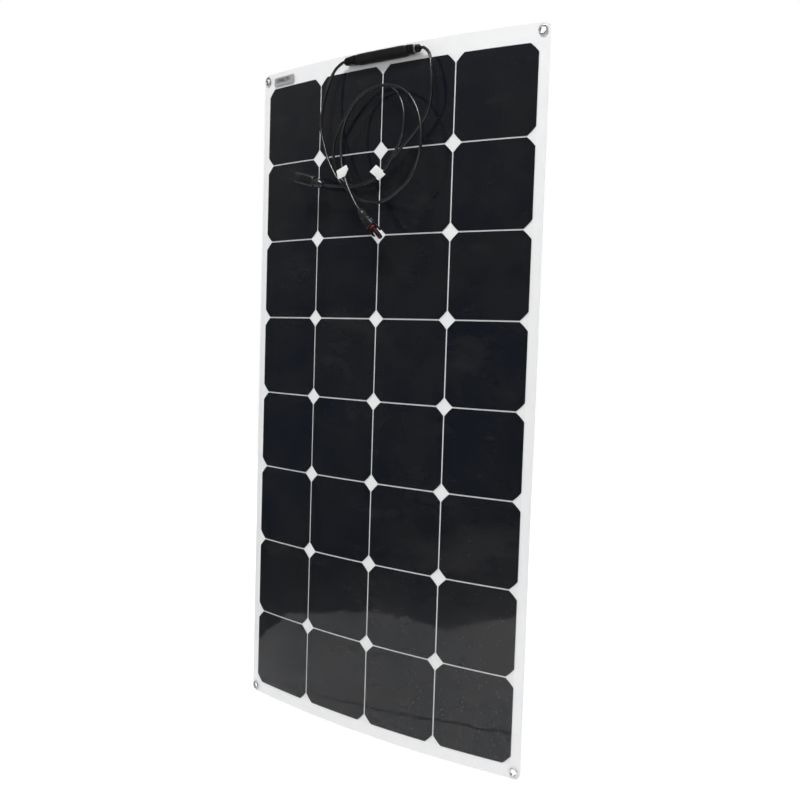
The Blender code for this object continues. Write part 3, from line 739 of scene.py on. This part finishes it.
def make_box(materials):
    half_x, half_z = BOX_HALF_LENGTH, BOX_HALF_HEIGHT
    tray = lofted([
        (BOX_FOOT, half_x - 0.0003, half_z - 0.0003, 10), (BOX_FOOT + 0.0003, half_x, half_z, 10),
        (BOX_FOOT + 0.0010, half_x, half_z, 10), (BOX_FOOT + 0.0014, half_x - 0.0003, half_z - 0.0003, 10),
        (BOX_SPLIT - 0.0003, half_x - 0.0003, half_z - 0.0003, 10),
        (BOX_SPLIT - 0.0001, half_x - 0.0005, half_z - 0.0005, 10),
        (BOX_SPLIT - 0.0001, half_x - 0.0015, half_z - 0.0015, 10),
        (BOX_FOOT + 0.0019, half_x - 0.0016, half_z - 0.0016, 8),
    ], 96)
    settle("junction_base", tray, box_placement(), [materials["box"]], "middle", "junction_base")

    rim = BOX_SPLIT + 0.0003
    shell = [
        (0.0044, 0.0030, 0.0028, 7), (0.0001, 0.0015, 0.0015, 10), (0.0, 0.0005, 0.0005, 10),
        (0.0003, 0.0, 0.0, 10), (0.0026, 0.0, 0.0, 10), (0.0034, 0.0002, 0.0002, 9),
        (0.0042, 0.0006, 0.0006, 8), (0.0049, 0.0012, 0.0013, 7), (0.0054, 0.0021, 0.0022, 6),
        (0.0057, 0.0035, 0.0032, 5), (0.0058, 0.0060, 0.0044, 5),
    ]
    parts = [lofted([(rim + height, half_x - in_x, half_z - in_z, squareness)
                     for height, in_x, in_z, squareness in shell], 96)]
    for number in range(GRIP_BARS):
        x = half_x - 0.0062 - number * GRIP_PITCH
        bar = lofted([(rim + 0.0050, 0.0004, 0.0042, 6), (rim + 0.0060, 0.0004, 0.0042, 6),
                      (rim + 0.0061, 0.0002, 0.0040, 6)], 24)
        bmesh.ops.translate(bar, vec=(x, 0, 0), verts=bar.verts)
        parts.append(bar)
    settle("junction_lid", merged(parts), box_placement(), [materials["box"]], "lid", "junction_lid")


def box_end(side):
    end = Vector((BOX_X + side * BOX_HALF_LENGTH, on_sheet(0, 0, 0).y - GLAND_AXIS, BOX_Z))
    return standing(end, Vector((side, 0, 0)), TOWARDS_VIEWER)


def make_glands(materials):
    """The right gland is stepped and has a light grey metal clamp ring, which is also a painted highlight;
    the left one is a plain taper.
    """
    bore = [(GLAND_LENGTH, GLAND_BORE, GLAND_BORE, 2), (0.0132, GLAND_BORE, GLAND_BORE, 2)]
    taper = [
        (0.0003, 0.0066, 0.0050, 6), (0.0006, 0.0069, 0.0053, 6), (0.0060, 0.0067, 0.0053, 5),
        (0.0066, 0.0065, 0.0052, 5), (0.0120, 0.0063, 0.0052, 4), (0.0190, 0.0058, 0.0050, 3),
        (0.0200, 0.0056, 0.0048, 2.7), (0.0208, 0.0052, 0.0046, 2.5), (0.0215, 0.0048, 0.0044, 2.2),
        (GLAND_LENGTH, 0.0040, 0.0038, 2),
    ]
    stepped = [
        (0.0003, 0.0066, 0.0050, 6), (0.0006, 0.0069, 0.0053, 6), (0.0030, 0.0069, 0.0053, 6),
        (0.0033, 0.0067, 0.0051, 6), (0.0037, 0.0067, 0.0051, 6), (0.0040, 0.0068, 0.0053, 5),
        (0.0098, 0.0067, 0.0053, 4), (0.0106, 0.0064, 0.0052, 4), (0.0113, 0.0058, 0.0049, 3),
        (0.0118, 0.0054, 0.0048, 2.5), (0.0157, 0.0054, 0.0048, 2.5), (0.0166, 0.0053, 0.0048, 2.2),
        (0.0170, 0.0056, 0.0050, 2.2), (0.0175, 0.0057, 0.0051, 2.2), (0.0198, 0.0056, 0.0050, 2.2),
        (0.0206, 0.0053, 0.0048, 2.2), (0.0214, 0.0048, 0.0045, 2), (GLAND_LENGTH, 0.0040, 0.0038, 2),
    ]
    left = settle("left_gland", lofted(taper + bore), box_end(-1), [materials["gland"]], "middle",
                  "left_gland")
    right = settle("right_gland", lofted(stepped + bore), box_end(1), [materials["gland"]], "middle",
                   "right_gland")
    # Light grey metal band: a grey ring on the gland, and also a painted highlight where the gland shines.
    band = [
        (0.0128, 0.0058, 0.0050, 2.5), (0.0131, 0.0060, 0.0052, 2.5), (0.0152, 0.0060, 0.0052, 2.5),
        (0.0155, 0.0058, 0.0050, 2.5), (0.0155, 0.0055, 0.0049, 2.5), (0.0128, 0.0055, 0.0049, 2.5),
    ]
    rings = [[(x, y, height) for x, y in rounded_ring(half_x, half_y, squareness, 48)]
             for height, half_x, half_y, squareness in band]
    ring = settle("gland_clamp_ring", joined_rings(rings, closed=True), box_end(1), [materials["clamp"]],
                  "middle")
    return left, right, ring


# ---------------------------------------------------------------- plugs

def make_nut(name, placement, materials):
    """The cap nut: a smooth cone towards the lead, a ribbed grip, and a bore with a step."""
    profile = [
        (GLAND_BORE, 0.0), (0.0037, 0.0), (0.0041, 0.0002), (0.0046, 0.0009), (0.0054, 0.0034),
        (0.0062, 0.0060), (0.0063, 0.0066), (0.0064, 0.0071), (0.0067, 0.0078, 0.0002),
        (0.0067, 0.0086, 0.0002), (0.0067, 0.0154, 0.0002), (0.0066, 0.0160, 0.0001), (0.0064, 0.0166),
        (0.0061, NUT_LENGTH), (0.0055, NUT_LENGTH), (0.0055, 0.0082), (GLAND_BORE, 0.0074),
    ]
    ring = turned(profile, 96, ribs=16)
    return settle(name, ring, placement, [materials["nut"]], name.replace("_plug", ""), name)


def neck():
    return [(0.0086, 0.0042, 0.0042, 2), (0.0092, 0.0051, 0.0051, 2), (0.0170, 0.0051, 0.0051, 2)]


def grooves(first, last, count, half_x, half_y, squareness):
    """Sections of a body between two heights with evenly spaced shallow grooves round it."""
    groove = ((-0.0006, 0.0), (-0.0003, 0.0004), (0.0003, 0.0004), (0.0006, 0.0))
    return [(middle + step, half_x - depth, half_y - depth, squareness)
            for middle in np.linspace(first, last, count + 2)[1:-1] for step, depth in groove]


def make_contact(name, placement, radius, first, last, materials):
    """A round contact with a domed tip and a slot round its middle."""
    middle = (first + last) / 2
    profile = [(first, 1.0), (middle - 0.0004, 1.0), (middle, 0.85), (middle + 0.0004, 1.0),
               (last - radius, 1.0), (last - radius * 0.3, 0.8), (last, 0.3)]
    pin = lofted([(height, radius * part, radius * part, 2) for height, part in profile], 24)
    return settle(name, pin, placement, [materials["contact"]], "middle")


def make_finger_piece(name, placement, side, materials):
    half = 0.0008
    tip = FINGER_LENGTH
    outline = [(-half, 0.0), (half, 0.0), (half, tip - 0.0042), (half + 0.0010, tip - 0.0036),
               (half + 0.0008, tip - 0.0026), (half - 0.0003, tip), (-half, tip)]
    outline = [(side * x, z) for x, z in outline]
    finger = extruded(outline, 0.0024, bevel=0.0002)
    bmesh.ops.translate(finger, vec=(side * FINGER_OFFSET, 0, FINGER_START), verts=finger.verts)
    return settle(name, finger, placement, [materials["plug"]], name.replace("fork_plug_", ""), name)


def make_fork_plug(materials):
    placement = standing(FORK_PLUG_START, FORK_PLUG_WAY, TOWARDS_VIEWER)
    body = neck() + [(0.0171, 0.0066, 0.0059, 3), (0.0174, 0.0069, 0.0062, 3)]
    body += grooves(0.0176, 0.0246, 3, 0.0070, 0.0063, 3)
    body += [(0.0250, 0.0072, 0.0063, 3), (0.0296, 0.0079, 0.0067, 3), (0.0306, 0.0079, 0.0067, 3),
             (0.0317, 0.0076, 0.0064, 2.8), (0.0323, 0.0071, 0.0060, 2.5), (0.0325, 0.0050, 0.0048, 2),
             (0.0327, 0.0036, 0.0036, 2), (0.0365, 0.0036, 0.0036, 2), (0.0440, 0.0036, 0.0036, 2),
             (0.0530, 0.0036, 0.0036, 2), (0.0543, 0.0034, 0.0034, 2), (0.0550, 0.0029, 0.0029, 2),
             (0.0550, 0.0020, 0.0020, 2), (0.0385, 0.0020, 0.0020, 2)]
    housing = lofted(body)
    # The probe's faces get the dark red probe material, a painted reflection of the red seal ring.
    for face in housing.faces:
        face.material_index = 1 if face.calc_center_median().z > 0.0335 else 0
    finishes = [materials["plug"], materials["probe"]]
    pieces = [settle("fork_plug_housing", housing, placement, finishes, "middle", "fork_plug_housing")]
    bead = [(0.0046 + x, 0.0348 + z) for x, z in rounded_ring(0.0007, 0.0014, 2.6, 16)]
    pieces.append(settle("fork_plug_seal", turned(bead), placement, [materials["rubber"]], "middle",
                         "fork_plug_seal"))
    pieces.append(make_contact("fork_contact", placement, 0.0012, 0.0386, 0.0535, materials))
    pieces.append(make_nut("fork_plug_nut", placement, materials))
    pieces.append(make_finger_piece("fork_plug_finger_a", placement, 1, materials))
    pieces.append(make_finger_piece("fork_plug_finger_b", placement, -1, materials))
    return pieces


def make_shell_plug(materials):
    """The shell has a stepped front rim, six grip recesses on its face and a window in each side; the recess
    floors are near-black, as painted shade.
    """
    placement = standing(SHELL_PLUG_START, SHELL_PLUG_WAY, TOWARDS_VIEWER)
    body = neck() + [
        (0.0171, 0.0069, 0.0063, 3), (0.0175, 0.0073, 0.0067, 3), (0.0194, 0.0085, 0.0076, 3),
        (0.0202, 0.0088, 0.0078, 3), (0.0300, 0.0088, 0.0078, 3.1), (0.0430, 0.0088, 0.0078, 3.2),
        (0.0530, 0.0088, 0.0078, 3.2), (0.0533, 0.0086, 0.0076, 3.2), (0.0537, 0.0086, 0.0076, 3.2),
        (0.0540, 0.0088, 0.0078, 3.2), (0.0556, 0.0087, 0.0077, 3), (0.0566, 0.0085, 0.0075, 3),
        (0.0570, 0.0081, 0.0071, 3), (0.0570, 0.0058, 0.0058, 2), (0.0566, 0.0056, 0.0056, 2),
        (0.0370, 0.0056, 0.0056, 2),
    ]
    cutters = []
    for z in (0.0240, 0.0315, 0.0390):
        for x in (-RECESS_X, RECESS_X):
            recess = extruded([(x - 0.0015, z - 0.0023), (x + 0.0015, z - 0.0023), (x + 0.0015, z + 0.0023),
                               (x - 0.0015, z + 0.0023)], 0.0018)
            bmesh.ops.translate(recess, vec=(0, 0.0083, 0), verts=recess.verts)
            cutters.append(recess)
    window = [(-0.0026, 0.0455), (0.0026, 0.0455), (0.0026, 0.0505), (-0.0026, 0.0505)]
    cutters.append(extruded(window, 0.012, axes=(1, 2), bevel=0.0005))
    shell = carved(lofted(body), cutters)
    # The floors of the grip recesses get the near-black recess material: painted shade.
    for face in shell.faces:
        middle = face.calc_center_median()
        in_row = abs(abs(middle.x) - RECESS_X) < 0.0016 and 0.0215 < middle.z < 0.0415
        face.material_index = 1 if in_row and 0.0060 < middle.y < 0.00775 else 0
    finishes = [materials["plug"], materials["recess"]]
    pieces = [settle("shell_plug_housing", shell, placement, finishes, "middle", "shell_plug_housing")]
    sleeve = turned([(0.0019, 0.0372), (0.0033, 0.0372), (0.0033, 0.0520), (0.0031, 0.0524), (0.0021, 0.0524),
                     (0.0019, 0.0520)], 32)
    pieces.append(settle("shell_contact", sleeve, placement, [materials["contact"]], "middle"))
    pieces.append(make_nut("shell_plug_nut", placement, materials))
    return pieces


# ---------------------------------------------------------------- tape flags and label

def folded_flag(name, flag, materials):
    """A tape folded round a lead: two layers that make the tab, and a loop that holds the lead."""
    middle, outline, lead_place, lead_way = flag
    tab = [(x / 1000, z / 1000) for x, z in outline]
    layers = []
    for depth in (-0.00014, 0.00014):
        layer = extruded(tab, 0.00012, bevel=0.00004)
        bmesh.ops.translate(layer, vec=(0, depth, 0), verts=layer.verts)
        bmesh.ops.translate(layer, vec=middle, verts=layer.verts)
        layers.append(layer)
    inner = LEAD_DIAMETER / 2 + 0.00015
    profile = [(inner, -0.0045), (inner + 0.0002, -0.0045), (inner + 0.0003, 0.0), (inner + 0.0002, 0.0045),
               (inner, 0.0045)]
    loop = turned(profile, 40)
    bmesh.ops.transform(loop, matrix=standing(lead_place, lead_way, TOWARDS_VIEWER), verts=loop.verts)
    layers.append(loop)
    start = lead_place.y - inner
    depth = start - middle.y - 0.0003
    stem = extruded([(0.0, -0.0028), (depth, -0.0028), (depth, 0.0028), (0.0, 0.0028)], 0.0001, bevel=0.00003)
    way = Vector((lead_way.x, 0, lead_way.z)).normalized()
    turn = Matrix((TOWARDS_VIEWER, way.cross(TOWARDS_VIEWER), way)).transposed().to_4x4()
    place = Matrix.Translation((lead_place.x, start, lead_place.z))
    bmesh.ops.transform(stem, matrix=place @ turn, verts=stem.verts)
    layers.append(stem)
    return settle(name, merged(layers), Matrix.Identity(4), [materials["tape"]], "middle", name)


def make_label(materials):
    """A thin printed label on the front film; its print is blurred past reading."""
    low, high = LABEL_HEIGHT
    left, right = LABEL_ACROSS
    corner = 0.0008
    outline = []
    for centre, first in (((right - corner, high - corner), 0), ((left + corner, high - corner), 90),
                          ((left + corner, low + corner), 180), ((right - corner, low + corner), 270)):
        outline += arc(centre, corner, first, first + 90, 4)
    slab = flat_slab("label", [outline], (FRONT_FILM[1] + 0.00005, FRONT_FILM[1] + 0.00020))
    bow(slab)
    bend_with_sheet(finish_mesh("visual_label", slab, [materials["label"]]))


# ---------------------------------------------------------------- leads

def smooth_curve(points, samples=1200):
    """A natural cubic spline through the points, spaced by the square root of their distances."""
    points = np.array(points, dtype=float)
    steps = np.sqrt(np.linalg.norm(np.diff(points, axis=0), axis=1))
    knots = np.concatenate([[0.0], np.cumsum(steps)])
    count = len(points)
    system = np.eye(count)
    right_side = np.zeros((count, 3))
    for i in range(1, count - 1):
        system[i, i - 1:i + 2] = (steps[i - 1], 2 * (steps[i - 1] + steps[i]), steps[i])
        slope_after = (points[i + 1] - points[i]) / steps[i]
        slope_before = (points[i] - points[i - 1]) / steps[i - 1]
        right_side[i] = 6 * (slope_after - slope_before)
    bend = np.linalg.solve(system, right_side)
    places = np.linspace(0.0, knots[-1], samples)
    spans = np.clip(np.searchsorted(knots, places, side="right") - 1, 0, count - 2)
    curve = []
    for place, i in zip(places, spans):
        h = steps[i]
        a = (knots[i + 1] - place) / h
        b = 1.0 - a
        curve.append(a * points[i] + b * points[i + 1]
                     + ((a ** 3 - a) * bend[i] + (b ** 3 - b) * bend[i + 1]) * h * h / 6)
    return np.array(curve)


def evenly_spaced(curve, spacing):
    distance = np.concatenate([[0.0], np.cumsum(np.linalg.norm(np.diff(curve, axis=0), axis=1))])
    count = int(round(distance[-1] / spacing)) + 1
    places = np.linspace(0.0, distance[-1], count)
    return np.stack([np.interp(places, distance, curve[:, k]) for k in range(3)], axis=1)


def make_lead(name, exit_point, exit_way, route, plug_start, plug_way, material):
    first = exit_point + exit_way * STRAIGHT_START
    last = plug_start - plug_way * STRAIGHT_END
    free = [first] + [Vector(place) / 1000 for place in route] + [last]
    points = [exit_point - exit_way * LEAD_IN_GLAND]
    points += [Vector(p) for p in evenly_spaced(smooth_curve(free), LEAD_DIAMETER / 2)]
    points.append(plug_start + plug_way * LEAD_IN_NUT)
    curve = bpy.data.curves.new(name, "CURVE")
    curve.dimensions = "3D"
    curve.bevel_depth = LEAD_DIAMETER / 2
    curve.bevel_resolution = 5
    curve.use_fill_caps = True
    spline = curve.splines.new("POLY")
    spline.points.add(len(points) - 1)
    for spline_point, place in zip(spline.points, points):
        spline_point.co = (*place, 1.0)
    spline.use_smooth = True
    curve.materials.append(material)
    lead = link_object("visual_" + name, curve)
    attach(lead, "middle")
    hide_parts(name)


def make_cords(materials):
    """The glands, plugs and tape flags, and the two leads that run to the plugs."""
    left_gland, right_gland, clamp_ring_painted_highlight = make_glands(materials)
    fork = make_fork_plug(materials) + [folded_flag("left_flag", LEFT_FLAG, materials), left_gland]
    shell = make_shell_plug(materials) + [folded_flag("right_flag", RIGHT_FLAG, materials)]
    shell += [right_gland, clamp_ring_painted_highlight]
    make_lead("left_lead", LEFT_EXIT, Vector((-1, 0, 0)), LEFT_ROUTE, FORK_PLUG_START, FORK_PLUG_WAY,
              materials["jacket"])
    make_lead("right_lead", RIGHT_EXIT, Vector((1, 0, 0)), RIGHT_ROUTE, SHELL_PLUG_START, SHELL_PLUG_WAY,
              materials["jacket"])


# ---------------------------------------------------------------- carried-over CAD nodes

def dress_nodes(materials):
    """The pieces inside the box keep the CAD's shape."""
    finishes = {"negative_terminal": "brass", "positive_terminal": "brass", "bypass_diode": "diode"}
    for name, finish in finishes.items():
        node = NODES[name]
        node.data.materials.clear()
        node.data.materials.append(materials[finish])


# ---------------------------------------------------------------- studio

def torn(corners, step, depth):
    """The line through the corners in short steps that wander to either side of it."""
    points = []
    for (x, y), (next_x, next_y) in zip(corners, corners[1:]):
        count = round(math.hypot(next_x - x, next_y - y) / step)
        for i in range(count):
            turn = len(points)
            wander = depth * (math.sin(2.3 * turn) + 0.6 * math.sin(5.1 * turn + 1.0))
            points.append((x + (next_x - x) * i / count, y + (next_y - y) * i / count + wander))
    return points + [corners[-1]]


def make_floor():
    """Two pale sheets that end a little way before the object, so that only the lower cells mirror them."""
    far = FLOOR_HALF_WIDTH
    edge = [(-far, FLOOR_EDGE[0][1])] + torn(FLOOR_EDGE, *FLOOR_TEAR) + [(far, FLOOR_EDGE[-1][1])]
    near_side = [(-far, FLOOR_JOIN[0][1])]
    far_side = [(-far, FLOOR_JOIN[0][1])]
    for x, y in torn(FLOOR_JOIN, *JOIN_TEAR):
        closeness = max(0.0, 1.0 - abs(x - JOIN_WIDEST_AT) / JOIN_NARROWING)
        half = (JOIN_WIDTHS[0] + (JOIN_WIDTHS[1] - JOIN_WIDTHS[0]) * closeness) / 2
        near_side.append((x, y - half))
        far_side.append((x, y + half))
    near_side.append((far, FLOOR_JOIN[-1][1]))
    far_side.append((far, FLOOR_JOIN[-1][1]))
    floor = bmesh.new()
    for outline in (edge + near_side[::-1], far_side + [(far, FLOOR_BACK), (-far, FLOOR_BACK)]):
        floor.faces.new([floor.verts.new((x, y, FLOOR_HEIGHT)) for x, y in outline])
    material, shader, add = node_material("studio_floor")
    split = add("ShaderNodeSeparateXYZ", object_place(add))
    path = add("ShaderNodeLightPath")
    mirrored = value_range(add, split.outputs["X"], *FLOOR_MIRRORED, *FLOOR_FADE)
    seen = calculated(add, "MULTIPLY", path.outputs["Is Camera Ray"], FLOOR_SEEN)
    fill_named(shader, {
        "Base Color": (0.68, 0.68, 0.68, 1.0), "Roughness": 0.9, "Emission Color": WHITE,
        "Emission Strength": calculated(add, "MULTIPLY_ADD", path.outputs["Is Glossy Ray"], mirrored, seen),
    })
    finish_mesh("floor", floor, [material])


def make_world():
    """White behind the object, soft even light, and a dim room with a paler ceiling for glossy surfaces."""
    world = bpy.data.worlds.new("studio")
    bpy.context.scene.world = world
    world.use_nodes = True
    tree = world.node_tree
    add = node_adder(tree)
    split = add("ShaderNodeSeparateXYZ", add("ShaderNodeTexCoord").outputs["Generated"])
    height = calculated(add, "MULTIPLY_ADD", split.outputs["X"], ROOM_TILT, split.outputs["Z"])
    ramp = add("ShaderNodeValToRGB", value_range(add, height, 0.0, 1.0, -0.5, 0.5))
    stops = ramp.color_ramp.elements
    for number, (position, colour) in enumerate(ROOM_TONES):
        stop = stops[number] if number < 2 else stops.new(position)
        stop.position = position
        stop.color = (*colour, 1.0)
    seen = add("ShaderNodeBackground", WHITE, 1.0).outputs[0]
    light = add("ShaderNodeBackground", WHITE, AMBIENT).outputs[0]
    mirrored = add("ShaderNodeBackground", ramp.outputs["Color"], 1.0).outputs[0]
    path = add("ShaderNodeLightPath")
    unseen = add("ShaderNodeMixShader", path.outputs["Is Glossy Ray"], light, mirrored).outputs[0]
    every_ray = add("ShaderNodeMixShader", path.outputs["Is Camera Ray"], unseen, seen).outputs[0]
    fill(tree.nodes["World Output"].inputs["Surface"], every_ray)


def area_light(name, place, target, size, power):
    data = bpy.data.lights.new(name, "AREA")
    data.shape = "DISK"
    data.size = size
    data.energy = power
    light = link_object(name, data)
    aim = (Vector(target) - Vector(place)).to_track_quat("-Z", "Y")
    light.matrix_world = Matrix.Translation(place) @ aim.to_matrix().to_4x4()
    return light


def make_studio():
    make_floor()
    make_world()
    area_light("key_light", (1.9, -2.3, 0.1), (0, 0, -0.5), 1.0, 11)
    area_light("top_light", (0.3, -2.4, 3.2), (0, 0, -0.5), 1.2, 138)
    area_light("back_light", (-1.0, 2.4, 1.0), (0, 0, -0.5), 1.4, 20)
    area_light("side_light", (-2.2, -0.7, 0.3), (0, 0, -0.5), 1.2, 9).visible_glossy = False
    bpy.context.scene.view_settings.view_transform = "Standard"


make_camera()
MATERIALS = make_materials()
make_laminate(MATERIALS)
make_cells(MATERIALS)
make_label(MATERIALS)
make_eyelets(MATERIALS)
make_box(MATERIALS)
make_cords(MATERIALS)
dress_nodes(MATERIALS)
make_studio()
